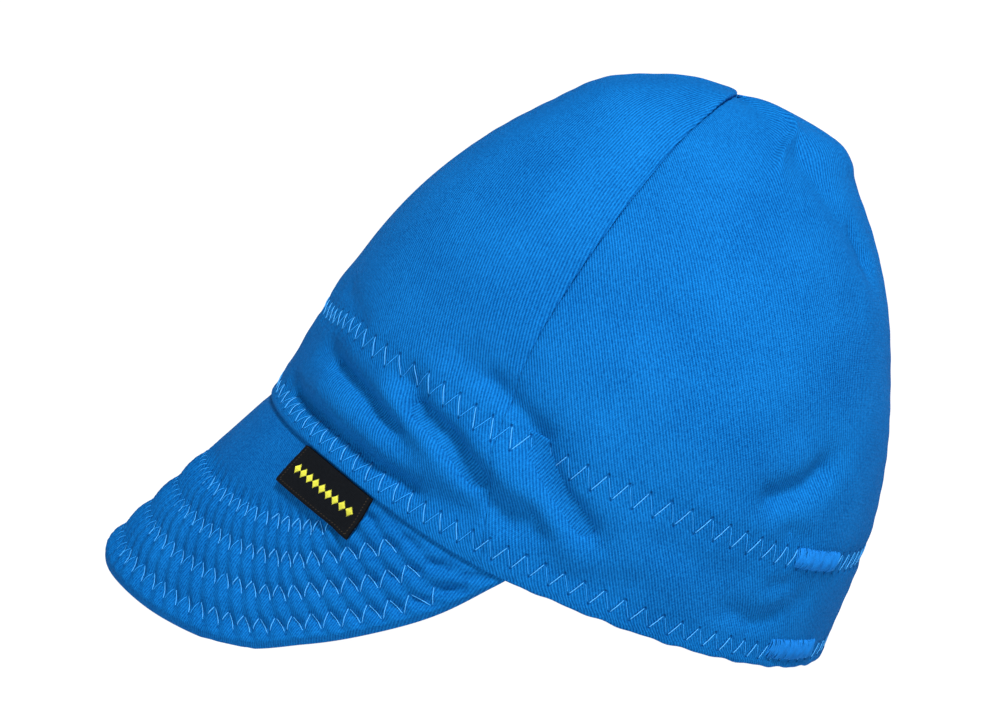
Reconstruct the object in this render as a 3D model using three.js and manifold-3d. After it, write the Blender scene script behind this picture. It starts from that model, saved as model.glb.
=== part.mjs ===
// A welding cap. Four crown panels are sewn over a band that is turned up inside them, and a
// quilted peak is caught between crown and band at the front. A folded tab hangs from that seam on
// the wearer's left, and bar tacks at the back hold the ends of the elastic inside the band.
// Millimetres, +Z up, peak towards -Y, wearer's left towards +X. The cap stands as it rests by
// itself: tipped back, on the lower edge of its peak and the back of its rim.
import * as THREE from "three";
import { mergeVertices } from "three/addons/utils/BufferGeometryUtils.js";
import Module from "manifold-3d";

// Crown
const rimLength = 200;
const rimWidth = 164;
const crownHeight = 160;
const clothThickness = 1.2;
const seamGap = 0.3;
const tipRadius = 0.9;
const puffDepth = 3;
const foldWidth = 14;
const foldDepth = 4;
const frontLift = 5.2;
const liftEase = 0.3;

// Band turned up inside the crown. It lies inside the peak's flange at the front, and comes out to
// the crown again over bandEase above the flange and over endEase degrees past the peak's ends.
const bandHeight = 47;
const bandLift = 0.6;
const layerGap = 0.3;
const flangeClear = 1;
const bandEase = 12;
const endClear = 2;
const endEase = 12;

// Peak
const peakPush = 34;
const peakDrop = 75;
const peakEndAngle = 89;
const peakThickness = 2.8;
const flangeHeight = 8;
const flangeThickness = 1.6;
const quiltEdge = 9;
const quiltPitch = 13;
const quiltRows = 4;
const quiltRise = 1.2;
const edgeRound = 0.7;

// Tab in the seam between crown and peak
const tabLength = 32;
const tabDrop = 15.5;
const tabThickness = 1;
const tabAngle = 50.5;
const tabStart = 0.8;
const tabSeat = 0.45;

// Bar tacks, whose rise is lower by these shares along their edges and at their ends
const tackHeight = 7.4;
const tackRise = 1;
const tackEdgeFall = 0.7;
const tackEndFall = 0.6;

// Where the cloth is pressed flat by what the cap stands on
const pressedDepth = 0.6;

// Facet sizes, and the narrowest facet where a row meets an edge
const facetAcross = 8.5;
const facetUp = 8;
const facetLeast = 2;
const tabFacets = { across: 6, down: 3 };
const tackFacets = { along: 8, up: 4 };

// Steps for slopes, in radians and as a place along the cloth, and what counts as the same place
const slopeTurn = 0.002;
const slopePlace = 0.002;
const samePlace = 1e-6;

// Level sections of the crown, from rim to apex. at is the place along the cloth, rise is a share
// of the crown's height, side of half the rim's width, and the others of half its length.
const crownSections = [
  { at: 0.0, rise: 0.0, front: -1.045, middle: 0.0, back: 1.0, side: 1.0 },
  { at: 0.07, rise: 0.08, front: -1.025, middle: 0.0, back: 0.992, side: 1.02 },
  { at: 0.15, rise: 0.175, front: -0.995, middle: 0.0, back: 0.987, side: 1.035 },
  { at: 0.26, rise: 0.3, front: -0.965, middle: 0.0, back: 0.97, side: 1.03 },
  { at: 0.38, rise: 0.44, front: -0.915, middle: 0.0, back: 0.915, side: 0.99 },
  { at: 0.5, rise: 0.58, front: -0.83, middle: 0.0, back: 0.825, side: 0.905 },
  { at: 0.61, rise: 0.712, front: -0.71, middle: 0.0, back: 0.72, side: 0.8 },
  { at: 0.72, rise: 0.828, front: -0.565, middle: -0.01, back: 0.59, side: 0.65 },
  { at: 0.82, rise: 0.917, front: -0.43, middle: -0.015, back: 0.455, side: 0.475 },
  { at: 0.91, rise: 0.973, front: -0.235, middle: -0.02, back: 0.34, side: 0.265 },
  { at: 0.96, rise: 0.989, front: -0.115, middle: -0.02, back: 0.15, side: 0.125 },
  { at: 1.0, rise: 0.99, front: -0.02, middle: -0.02, back: -0.02, side: 0.0 },
];

// How far the rim is lifted over the peak, by the angle from the front and as a share of the lift
// there. The lift evens out up the cloth, over liftEase of its length.
const rimLift = [
  { at: 0, share: 0.9 },
  { at: 15, share: 1.0 },
  { at: 30, share: 1.02 },
  { at: 48, share: 0.98 },
  { at: 60, share: 0.65 },
  { at: 72, share: 0.26 },
  { at: 84, share: 0.0 },
  { at: 96, share: 0.0 },
  { at: 180, share: 0.0 },
];

// The side seam's angle from the front in degrees, as it climbs to the apex.
const sideSeam = [
  { at: 0.0, angle: 84 },
  { at: 0.25, angle: 76 },
  { at: 0.5, angle: 75 },
  { at: 0.75, angle: 78 },
  { at: 1.0, angle: 86 },
];

// The peak's lower edge from its middle at 0 to its end at 1, in shares of its push and drop.
const peakEdge = [
  { at: 0.0, push: 1.0, drop: 0.985 },
  { at: 0.27, push: 0.95, drop: 1.0 },
  { at: 0.44, push: 0.66, drop: 1.0 },
  { at: 0.58, push: 0.34, drop: 0.92 },
  { at: 0.7, push: 0.15, drop: 0.71 },
  { at: 0.8, push: 0.06, drop: 0.51 },
  { at: 0.9, push: 0.0, drop: 0.28 },
  { at: 1.0, push: 0.0, drop: 0.0 },
];

// Bar tacks, with their angle from the front, height above the rim and length.
const tacks = [
  { name: "bartack_upper", angle: 149, height: 39, length: 22 },
  { name: "bartack_lower", angle: 154, height: 7, length: 26 },
];

// Soft folds of the crown. Each runs through places on the cloth, given as the angle from the
// front, positive on the wearer's left, and the place along the cloth. width and depth are shares
// of the fold sizes, and a positive depth stands out.
const folds = [
  { path: [[20, 0.055], [42, 0.055], [56, 0.05], [68, 0.06], [77, 0.075]], width: 0.42, depth: -0.55 },
  { path: [[35, 0.105], [46, 0.09], [55, 0.09]], width: 0.5, depth: 0.3 },
  { path: [[29, 0.17], [45, 0.15], [57, 0.125], [61, 0.115]], width: 0.42, depth: -0.6 },
  { path: [[53, 0.175], [64, 0.15], [76, 0.12]], width: 0.4, depth: 0.35 },
  { path: [[55, 0.22], [60, 0.185], [68, 0.17], [78, 0.13], [85, 0.1]], width: 0.42, depth: -0.85 },
  { path: [[87, 0.13], [91, 0.1]], width: 0.4, depth: -0.35 },
  { path: [[63, 0.305], [75, 0.285], [86, 0.25]], width: 0.5, depth: -0.5 },
  { path: [[82, 0.235], [89, 0.19], [100, 0.125]], width: 0.45, depth: -0.6 },
  { path: [[74, 0.17], [85, 0.15], [98, 0.095]], width: 0.45, depth: 0.45 },
  { path: [[92, 0.075], [103, 0.065], [110, 0.085]], width: 0.5, depth: -0.35 },
  { path: [[96, 0.35], [104, 0.285], [108, 0.255]], width: 0.8, depth: -0.25 },
  { path: [[131, 0.305], [139, 0.34], [144, 0.385]], width: 0.5, depth: -0.5 },
  { path: [[132, 0.415], [138, 0.425]], width: 0.6, depth: -0.25 },
  { path: [[114, 0.165], [122, 0.145], [130, 0.155]], width: 0.65, depth: -0.35 },
  { path: [[109, 0.105], [118, 0.12]], width: 0.6, depth: 0.25 },
  { path: [[131, 0.09], [138, 0.08], [145, 0.115], [148, 0.135]], width: 0.45, depth: -0.4 },
  { path: [[79, 0.49], [87, 0.495], [96, 0.51]], width: 0.8, depth: -0.25 },
  { path: [[132, 0.94], [120, 0.865], [118, 0.815]], width: 0.5, depth: 0.4 },
  { path: [[128, 0.87], [141, 0.8], [152, 0.735], [160, 0.7]], width: 0.6, depth: -0.45 },
  { path: [[125, 0.94], [180, 0.9]], width: 0.9, depth: 0.6 },
  { path: [[-125, 0.94], [-180, 0.9]], width: 0.9, depth: 0.6 },
  { path: [[-25, 0.06], [-60, 0.055]], width: 0.5, depth: -0.4 },
  { path: [[-30, 0.16], [-58, 0.11]], width: 0.5, depth: -0.5 },
  { path: [[-60, 0.19], [-82, 0.13]], width: 0.5, depth: -0.6 },
  { path: [[-80, 0.21], [-97, 0.14]], width: 0.55, depth: 0.4 },
  { path: [[-105, 0.13], [-132, 0.12]], width: 0.8, depth: -0.3 },
  { path: [[-130, 0.33], [-143, 0.31]], width: 0.7, depth: -0.45 },
  { path: [[-74, 0.52], [-98, 0.47]], width: 0.9, depth: -0.25 },
];

const radians = THREE.MathUtils.degToRad;
const wasm = await Module();
wasm.setup();

// A row of a table at any place, with each column on a smooth curve through the rows.
function rowAt(table, place) {
  let k = 0;
  while (k < table.length - 2 && place > table[k + 1].at) k += 1;
  const low = table[k];
  const high = table[k + 1];
  const before = table[k - 1] ?? low;
  const after = table[k + 2] ?? high;
  const span = high.at - low.at;
  const s = (place - low.at) / span;
  const row = {};
  for (const column of Object.keys(low)) {
    const leave = ((high[column] - before[column]) / (high.at - before.at)) * span;
    const arrive = ((after[column] - low[column]) / (after.at - low.at)) * span;
    const change = high[column] - low[column];
    const bend = leave + arrive - 2 * change;
    row[column] = low[column] + s * (leave + s * (3 * change - 2 * leave - arrive + s * bend));
  }
  return row;
}

// The crown's smooth outer shape, before its folds.
function crownShape(angle, place) {
  const section = rowAt(crownSections, place);
  const ahead = Math.cos(angle);
  const reach = ahead > 0 ? section.middle - section.front : section.back - section.middle;
  const share = rowAt(rimLift, Math.abs(THREE.MathUtils.radToDeg(angle))).share;
  const lift = frontLift * share * (1 - THREE.MathUtils.smoothstep(place, 0, liftEase));
  return new THREE.Vector3(
    (rimWidth / 2) * section.side * Math.sin(angle),
    (rimLength / 2) * (section.middle - reach * ahead),
    crownHeight * section.rise + lift,
  );
}

// The way out of the crown's cloth. It is taken a little below the apex, where all angles meet.
function crownNormal(angle, place) {
  const held = THREE.MathUtils.clamp(place, slopePlace, 1 - 8 * slopePlace);
  const left = crownShape(angle + slopeTurn, held);
  const above = crownShape(angle, held + slopePlace);
  const round = left.sub(crownShape(angle - slopeTurn, held));
  return round.cross(above.sub(crownShape(angle, held - slopePlace))).normalize();
}

// The length of the cloth from rim to apex at the side.
function sideLength() {
  const pieces = 40;
  let length = 0;
  for (let k = 0; k < pieces; k += 1) {
    const below = crownShape(Math.PI / 2, k / pieces);
    length += below.distanceTo(crownShape(Math.PI / 2, (k + 1) / pieces));
  }
  return length;
}

const clothLength = sideLength();
const meanRadius = (rimLength + rimWidth) / 4;

// The panels' fullness between seams, from nothing at the rim and the apex.
function puffHeight(angle, place) {
  const seam = seamAngle(place);
  const turn = Math.abs(angle);
  const share = turn < seam ? turn / seam : (Math.PI - turn) / (Math.PI - seam);
  return puffDepth * Math.sin(Math.PI * share) * Math.sin(Math.PI * place) ** 2;
}

// How far the folds lift the cloth at one place. Distances are measured on the cloth laid flat.
function foldHeight(angle, place) {
  const spot = new THREE.Vector2(angle * meanRadius, place * clothLength);
  let height = 0;
  for (const fold of folds) {
    const corners = fold.path.map(([degrees, at]) => (
      new THREE.Vector2(radians(degrees) * meanRadius, at * clothLength)
    ));
    const gaps = corners.slice(1).map((end, k) => {
      const run = end.clone().sub(corners[k]);
      const way = THREE.MathUtils.clamp(spot.clone().sub(corners[k]).dot(run) / run.lengthSq(), 0, 1);
      return spot.distanceTo(corners[k].clone().addScaledVector(run, way));
    });
    const away = Math.min(...gaps) / (foldWidth * fold.width);
    height += foldDepth * fold.depth * Math.exp(-away * away);
  }
  return height;
}

// A point of the crown's cloth at a depth below its outer face.
function crownPoint(angle, place, depth) {
  const lift = foldHeight(angle, place) + puffHeight(angle, place) - depth;
  return crownShape(angle, place).addScaledVector(crownNormal(angle, place), lift);
}

// The place along the cloth at which the crown has a given height.
function placeAtHeight(height) {
  let low = 0;
  let high = 1;
  while (high - low > samePlace / 1000) {
    const middle = (low + high) / 2;
    if (rowAt(crownSections, middle).rise * crownHeight < height) low = middle;
    else high = middle;
  }
  return low;
}

// Millimetres round the crown for each radian, where it bends most tightly.
function roundness(place) {
  const section = rowAt(crownSections, place);
  const reach = (rimLength / 4) * (section.back - section.front);
  return Math.min((rimWidth / 2) * section.side, reach);
}

const seamAngle = (place) => radians(rowAt(sideSeam, place).angle);

// The crown's four quarters, from seam to seam as the angle grows.
const quarters = [
  { name: "crown_rear_right", from: () => -Math.PI, to: (place) => -seamAngle(place) },
  { name: "crown_front_right", from: (place) => -seamAngle(place), to: () => 0 },
  { name: "crown_front_left", from: () => 0, to: seamAngle },
  { name: "crown_rear_left", from: seamAngle, to: () => Math.PI },
];

const quarterFacets = Math.round((Math.PI * meanRadius) / 2 / facetAcross);

// The angle of one column of facets, which slants with the seams beside it.
function columnAngle(quarter, share, place) {
  return THREE.MathUtils.lerp(quarter.from(place), quarter.to(place), share);
}

// Places of the rows of facets up the cloth: level with the band's up to its top, then even.
function bandPlaces() {
  const eased = flangeHeight + bandEase;
  const heights = [bandLift, flangeHeight, eased];
  const rest = Math.max(1, Math.round((bandHeight - eased) / facetUp));
  for (let k = 1; k <= rest; k += 1) {
    heights.push(THREE.MathUtils.lerp(eased, bandHeight, k / rest));
  }
  return heights.map(placeAtHeight);
}

function crownPlaces() {
  const places = [0, ...bandPlaces().slice(1)];
  const start = places[places.length - 1];
  let end = 1;
  while (roundness(end) < tipRadius) end -= slopePlace / 2;
  const count = Math.round(((end - start) * clothLength) / facetUp);
  for (let k = 1; k <= count; k += 1) places.push(THREE.MathUtils.lerp(start, end, k / count));
  return places;
}

function geometryOf(places, faces) {
  const geometry = new THREE.BufferGeometry();
  geometry.setAttribute("position", new THREE.Float32BufferAttribute(places, 3));
  geometry.setIndex(faces);
  return geometry;
}

// The same body with its faces turned to point outwards.
function facingOut(geometry) {
  const place = geometry.getAttribute("position");
  const index = geometry.getIndex();
  const corner = (k) => new THREE.Vector3().fromBufferAttribute(place, index.getX(k));
  let volume = 0;
  for (let k = 0; k < index.count; k += 3) {
    volume += corner(k).dot(corner(k + 1).cross(corner(k + 2)));
  }
  if (volume < 0) index.array.reverse();
  return geometry;
}

// A closed body of cloth from lines of points. Each point has an outer and an inner place and a
// key, and neighbouring lines are joined in the order of their keys. A ring closes on itself.
function clothBody(lines, isRing) {
  const places = [];
  const starts = [];
  for (const line of lines) {
    starts.push(places.length / 3);
    for (const point of line) places.push(...point.outer, ...point.inner);
  }
  const faces = [];
  const quad = (a, b, c, d) => faces.push(a, b, c, a, c, d);
  const count = isRing ? lines.length : lines.length - 1;
  for (let k = 0; k < count; k += 1) {
    const next = (k + 1) % lines.length;
    const [here, there] = [lines[k], lines[next]];
    const near = (i) => starts[k] + 2 * i;
    const far = (j) => starts[next] + 2 * j;
    let [i, j] = [0, 0];
    while (i < here.length - 1 || j < there.length - 1) {
      const nearKey = i < here.length - 1 ? here[i + 1].key : Infinity;
      const farKey = j < there.length - 1 ? there[j + 1].key : Infinity;
      const isNear = nearKey <= farKey + samePlace;
      const face = isNear ? [near(i), near(i + 1), far(j)] : [near(i), far(j + 1), far(j)];
      if (isNear) i += 1;
      else j += 1;
      faces.push(...face, face[0] + 1, face[2] + 1, face[1] + 1);
    }
    quad(near(0), far(0), far(0) + 1, near(0) + 1);
    quad(far(j), near(i), near(i) + 1, far(j) + 1);
  }
  if (!isRing) {
    for (let i = 0; i < lines[0].length - 1; i += 1) {
      const a = starts[0] + 2 * i;
      quad(a + 2, a, a + 1, a + 3);
    }
    for (let i = 0; i < lines[lines.length - 1].length - 1; i += 1) {
      const a = starts[lines.length - 1] + 2 * i;
      quad(a, a + 2, a + 3, a + 1);
    }
  }
  return facingOut(geometryOf(places, faces));
}

// One crown panel, with fewer facets across as it narrows.
function panelBody(quarter) {
  const bandTop = placeAtHeight(bandHeight);
  const lines = crownPlaces().map((place) => {
    const width = (quarter.to(place) - quarter.from(place)) * roundness(place);
    const fit = Math.max(1, Math.round(width / facetAcross));
    const count = place <= bandTop + samePlace ? quarterFacets : Math.min(fit, quarterFacets);
    const trim = seamGap / 2 / roundness(place);
    const line = [];
    for (let i = 0; i <= count; i += 1) {
      const inset = trim * (1 - (2 * i) / count);
      const angle = columnAngle(quarter, i / count, place);
      line.push({
        outer: crownPoint(angle + inset, place, 0),
        inner: crownPoint(angle + inset, place, clothThickness),
        key: i / count,
      });
    }
    return line;
  });
  return clothBody(lines, false);
}

// How far inside the crown's outer face the band's own outer face lies.
function bandDepth(angle, height) {
  const past = Math.abs(THREE.MathUtils.radToDeg(angle)) - peakEndAngle;
  const above = height - flangeHeight;
  const beside = 1 - THREE.MathUtils.smoothstep(past, endClear, endClear + endEase);
  const below = 1 - THREE.MathUtils.smoothstep(above, flangeClear, bandEase);
  const plain = clothThickness + layerGap;
  return plain + (flangeThickness + layerGap) * beside * below;
}

function bandBody() {
  const places = bandPlaces();
  const lines = [];
  for (const quarter of quarters) {
    for (let i = 0; i < quarterFacets; i += 1) {
      lines.push(places.map((place, k) => {
        const angle = columnAngle(quarter, i / quarterFacets, place);
        const height = rowAt(crownSections, place).rise * crownHeight;
        const depth = bandDepth(angle, height);
        return {
          outer: crownPoint(angle, place, depth),
          inner: crownPoint(angle, place, depth + clothThickness),
          key: k,
        };
      }));
    }
  }
  return clothBody(lines, true);
}

// The way from the rim to the peak's lower edge at one angle.
function peakRun(angle) {
  const share = Math.min(1, Math.abs(angle) / radians(peakEndAngle));
  const row = rowAt(peakEdge, share);
  return new THREE.Vector3(0, -peakPush * row.push, -peakDrop * row.drop);
}

// A point of the peak's outer face, before quilting. way is the distance below the rim, and
// negative in the flange between crown and band.
function peakShape(angle, way) {
  const depth = clothThickness + layerGap;
  if (way < 0) return crownPoint(angle, placeAtHeight(-way), depth);
  const run = peakRun(angle);
  if (run.length() < samePlace) run.z = -samePlace;
  return crownPoint(angle, 0, depth).addScaledVector(run.normalize(), way);
}

function peakNormal(angle, way) {
  const turn = 5 * slopeTurn;
  const round = peakShape(angle + turn, way).sub(peakShape(angle - turn, way));
  const down = peakShape(angle, way + 1).sub(peakShape(angle, way - 1));
  return down.cross(round).normalize();
}

// How far quilting lifts the peak's face at a distance from its edge.
function quiltHeight(fromEdge) {
  const lastRow = quiltEdge + quiltPitch * (quiltRows - 1);
  if (fromEdge > lastRow) {
    return (quiltRise / 2) * THREE.MathUtils.smoothstep(fromEdge, lastRow, lastRow + quiltPitch);
  }
  const turn = (2 * Math.PI * (fromEdge - quiltEdge)) / quiltPitch;
  return (quiltRise / 2) * (1 - Math.cos(turn));
}

// A point of the peak's two faces, which draw together towards its edge. Keys grow away from the
// edge, with those of the flange last.
function peakLayers(angle, way, fromEdge) {
  const out = peakNormal(angle, way);
  const below = THREE.MathUtils.smoothstep(way, 0, flangeHeight);
  const thickness = THREE.MathUtils.lerp(flangeThickness, peakThickness, below);
  const edge = THREE.MathUtils.smoothstep(fromEdge, 0, peakThickness);
  const quilt = quiltHeight(fromEdge) * below * edge;
  const round = (1 - edge) * edgeRound;
  return {
    outer: peakShape(angle, way).addScaledVector(out, quilt - round),
    inner: peakShape(angle, way).addScaledVector(out, round - thickness),
    key: way > 0 ? -fromEdge : way - 2 * peakDrop,
  };
}

// Its columns run from left to right, so that its facets slant as the crown's do.
function peakBody() {
  const end = radians(peakEndAngle);
  const top = placeAtHeight(flangeHeight);
  const columns = [{ rim: end, top: end }];
  for (const quarter of [...quarters].reverse()) {
    for (let i = quarterFacets; i > 0; i -= 1) {
      const rim = columnAngle(quarter, i / quarterFacets, 0);
      const column = { rim, top: columnAngle(quarter, i / quarterFacets, top) };
      if ((end - Math.abs(rim)) * meanRadius > facetLeast) columns.push(column);
    }
  }
  columns.push({ rim: -end, top: -end });
  const lines = columns.map((column) => {
    const length = peakRun(column.rim).length();
    const stops = [0, peakThickness, quiltEdge];
    for (let d = quiltEdge + quiltPitch / 2; d < length; d += quiltPitch / 2) stops.push(d);
    const inside = stops.filter((stop) => stop < length - facetLeast).reverse();
    const line = [peakLayers(column.top, -flangeHeight, length + flangeHeight)];
    line.push(peakLayers(column.rim, 0, length));
    for (const stop of inside) line.push(peakLayers(column.rim, length - stop, stop));
    return line;
  });
  return clothBody(lines, false);
}

// A folded tab laid on the peak, hanging from the seam.
function tabBody() {
  const half = tabLength / 2 / meanRadius;
  const lines = [];
  for (let i = 0; i <= tabFacets.across; i += 1) {
    const angle = radians(tabAngle) + half * ((2 * i) / tabFacets.across - 1);
    const line = [];
    for (let k = 0; k <= tabFacets.down; k += 1) {
      const way = tabStart + tabDrop * (k / tabFacets.down);
      const out = peakNormal(angle, way);
      const seat = peakLayers(angle, way, peakRun(angle).length() - way).outer;
      seat.addScaledVector(out, tabSeat);
      line.push({
        outer: seat.clone().addScaledVector(out, tabThickness),
        inner: seat,
        key: k,
      });
    }
    lines.push(line);
  }
  return clothBody(lines, false);
}

// A padded bar of close stitches on the crown's outer face.
function tackBody(tack, side) {
  const round = roundness(placeAtHeight(tack.height));
  const lines = [];
  for (let i = 0; i <= tackFacets.along; i += 1) {
    const line = [];
    const run = (2 * i) / tackFacets.along - 1;
    for (let k = 0; k <= tackFacets.up; k += 1) {
      const climb = (2 * k) / tackFacets.up - 1;
      const angle = side * radians(tack.angle) + (run * tack.length) / 2 / round;
      const place = placeAtHeight(tack.height + (climb * tackHeight) / 2);
      const crest = (1 - tackEdgeFall * climb ** 4) * (1 - tackEndFall * run ** 6);
      line.push({
        outer: crownPoint(angle, place, -layerGap - tackRise * crest),
        inner: crownPoint(angle, place, -layerGap),
        key: k,
      });
    }
    lines.push(line);
  }
  return clothBody(lines, false);
}

const heel = crownPoint(Math.PI, 0, 0);

// How far the cap tips back until the peak's edge is as low as the back of the rim.
function restingTilt() {
  let tilt = 0;
  for (let degrees = 0; degrees <= peakEndAngle; degrees += 1) {
    const edge = peakShape(radians(degrees), peakRun(radians(degrees)).length());
    tilt = Math.max(tilt, Math.atan2(heel.z - edge.z, heel.y - edge.y));
  }
  return tilt;
}

// Turned to its resting tilt, lowered to the surface and pressed flat there.
const tilt = restingTilt();
const toRest = new THREE.Matrix4().makeRotationX(-tilt);
const floorDrop = heel.clone().applyMatrix4(toRest).z + pressedDepth;
toRest.premultiply(new THREE.Matrix4().makeTranslation(0, 0, -floorDrop));

function solidOf(geometry) {
  const bare = geometry.clone();
  bare.deleteAttribute("normal");
  bare.deleteAttribute("uv");
  const merged = mergeVertices(bare, 10 * samePlace);
  const mesh = new wasm.Mesh({
    numProp: 3,
    vertProperties: merged.getAttribute("position").array,
    triVerts: new Uint32Array(merged.getIndex().array),
  });
  mesh.merge();
  return new wasm.Manifold(mesh);
}

function pressedFlat(geometry) {
  const slabSize = 4 * rimLength;
  const slab = new THREE.BoxGeometry(slabSize, slabSize, slabSize).translate(0, 0, -slabSize / 2);
  const body = solidOf(geometry.clone().applyMatrix4(toRest)).subtract(solidOf(slab)).getMesh();
  return geometryOf(body.vertProperties, [...body.triVerts]);
}

const blueTwill = { color: 0x1577c8, roughness: 0.85, metalness: 0 };
const blueThread = { color: 0x2f86d6, roughness: 0.6, metalness: 0 };
const blackRibbon = { color: 0x101216, roughness: 0.8, metalness: 0 };
const cap = new THREE.Group();

function addPiece(name, geometry, finish) {
  const mesh = new THREE.Mesh(pressedFlat(geometry), new THREE.MeshStandardMaterial(finish));
  mesh.name = name;
  cap.add(mesh);
}

for (const quarter of quarters) addPiece(quarter.name, panelBody(quarter), blueTwill);
addPiece("sweatband", bandBody(), blueTwill);
addPiece("peak", peakBody(), blueTwill);
addPiece("tab", tabBody(), blackRibbon);
for (const tack of tacks) {
  addPiece(`${tack.name}_left`, tackBody(tack, 1), blueThread);
  addPiece(`${tack.name}_right`, tackBody(tack, -1), blueThread);
}

// The origin is the middle of the whole cap, on the surface that it stands on.
const middle = new THREE.Box3().setFromObject(cap).getCenter(new THREE.Vector3());
cap.position.set(-middle.x, -middle.y, 0);

export default cap;
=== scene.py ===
# Welding cap of blue cotton twill: four crown panels, a band turned up inside, a quilted peak,
# a folded ribbon tab in the seam, bar tacks at the back, and all of its zigzag sewing.
import math
import bmesh
import bpy
import numpy as np
from mathutils import Matrix, Vector


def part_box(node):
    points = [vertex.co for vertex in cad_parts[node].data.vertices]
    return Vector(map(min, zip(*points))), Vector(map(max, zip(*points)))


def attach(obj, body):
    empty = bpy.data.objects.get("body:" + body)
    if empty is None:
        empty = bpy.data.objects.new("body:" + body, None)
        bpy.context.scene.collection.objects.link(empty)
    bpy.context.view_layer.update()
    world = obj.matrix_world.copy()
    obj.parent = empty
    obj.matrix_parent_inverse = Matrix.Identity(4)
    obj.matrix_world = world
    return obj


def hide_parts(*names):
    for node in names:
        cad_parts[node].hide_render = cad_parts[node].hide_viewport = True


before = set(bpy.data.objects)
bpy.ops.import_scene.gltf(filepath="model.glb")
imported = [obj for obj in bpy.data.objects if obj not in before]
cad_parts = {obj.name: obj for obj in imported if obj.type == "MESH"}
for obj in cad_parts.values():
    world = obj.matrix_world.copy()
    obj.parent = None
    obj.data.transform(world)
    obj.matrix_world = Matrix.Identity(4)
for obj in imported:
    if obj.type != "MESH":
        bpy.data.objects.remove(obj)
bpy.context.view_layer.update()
mm = 0.001


def table(columns, rows):
    return [dict(zip(columns.split(), row)) for row in rows]


cameraSetup = {
    "azimuth": 98.76,           # degrees round the cap, 90 looks at the wearer's left
    "elevation": 9.78,
    "roll": 3.32,
    "distance": 1.0,
    "lens": 107.55,
    "target": (0.51 * mm, 1.3 * mm, 89.15 * mm),
}


def addObject(name, data):
    made = bpy.data.objects.new(name, data)
    bpy.context.scene.collection.objects.link(made)
    return made


def makeCamera(setup):
    turn, lift, roll = (math.radians(setup[name]) for name in ("azimuth", "elevation", "roll"))
    back = Vector((math.sin(turn) * math.cos(lift), -math.cos(turn) * math.cos(lift), math.sin(lift)))
    level = Vector((math.cos(turn), math.sin(turn), 0))
    upright = back.cross(level)
    right = level * math.cos(roll) + upright * math.sin(roll)
    up = upright * math.cos(roll) - level * math.sin(roll)
    data = bpy.data.cameras.new("camera")
    data.lens = setup["lens"]
    data.sensor_width = 36
    data.clip_start = 0.05
    camera = addObject("camera", data)
    place = Vector(setup["target"]) + back * setup["distance"]
    camera.matrix_world = Matrix.Translation(place) @ Matrix((right, up, back)).transposed().to_4x4()
    bpy.context.scene.camera = camera


makeCamera(cameraSetup)
print("camera ready")

# The cap's shape, with the same sizes and tables as its solids.
crown = {
    "rimLength": 200 * mm,
    "rimWidth": 164 * mm,
    "height": 160 * mm,
    "thickness": 1.2 * mm,      # what each layer takes up
    "layerGap": 0.3 * mm,
    "puff": 3 * mm,
    "foldWidth": 14 * mm,
    "foldDepth": 4 * mm,
    "frontLift": 5.2 * mm,      # how far the rim is lifted over the peak
    "liftEase": 0.3,
    "pressed": 0.6 * mm,        # how far the cap sinks into what it stands on
}

# Level sections from rim to apex. at is the place along the cloth, rise a share of the height, side
# a share of half the width, and the others shares of half the length.
crownSections = table("at rise front middle back side", [
    (0.0, 0.0, -1.045, 0.0, 1.0, 1.0),
    (0.07, 0.08, -1.025, 0.0, 0.992, 1.02),
    (0.15, 0.175, -0.995, 0.0, 0.987, 1.035),
    (0.26, 0.3, -0.965, 0.0, 0.97, 1.03),
    (0.38, 0.44, -0.915, 0.0, 0.915, 0.99),
    (0.5, 0.58, -0.83, 0.0, 0.825, 0.905),
    (0.61, 0.712, -0.71, 0.0, 0.72, 0.8),
    (0.72, 0.828, -0.565, -0.01, 0.59, 0.65),
    (0.82, 0.917, -0.43, -0.015, 0.455, 0.475),
    (0.91, 0.973, -0.235, -0.02, 0.34, 0.265),
    (0.96, 0.989, -0.115, -0.02, 0.15, 0.125),
    (1.0, 0.99, -0.02, -0.02, -0.02, 0.0),
])

# The share of the front's lift, by the angle from the front in degrees.
rimLift = table("at share", [
    (0, 0.9),
    (15, 1.0),
    (30, 1.02),
    (48, 0.98),
    (60, 0.65),
    (72, 0.26),
    (84, 0.0),
    (96, 0.0),
    (180, 0.0),
])

# The side seam's angle from the front, by the place along the cloth.
sideSeam = table("at angle", [
    (0.0, 84),
    (0.25, 76),
    (0.5, 75),
    (0.75, 78),
    (1.0, 86),
])

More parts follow.
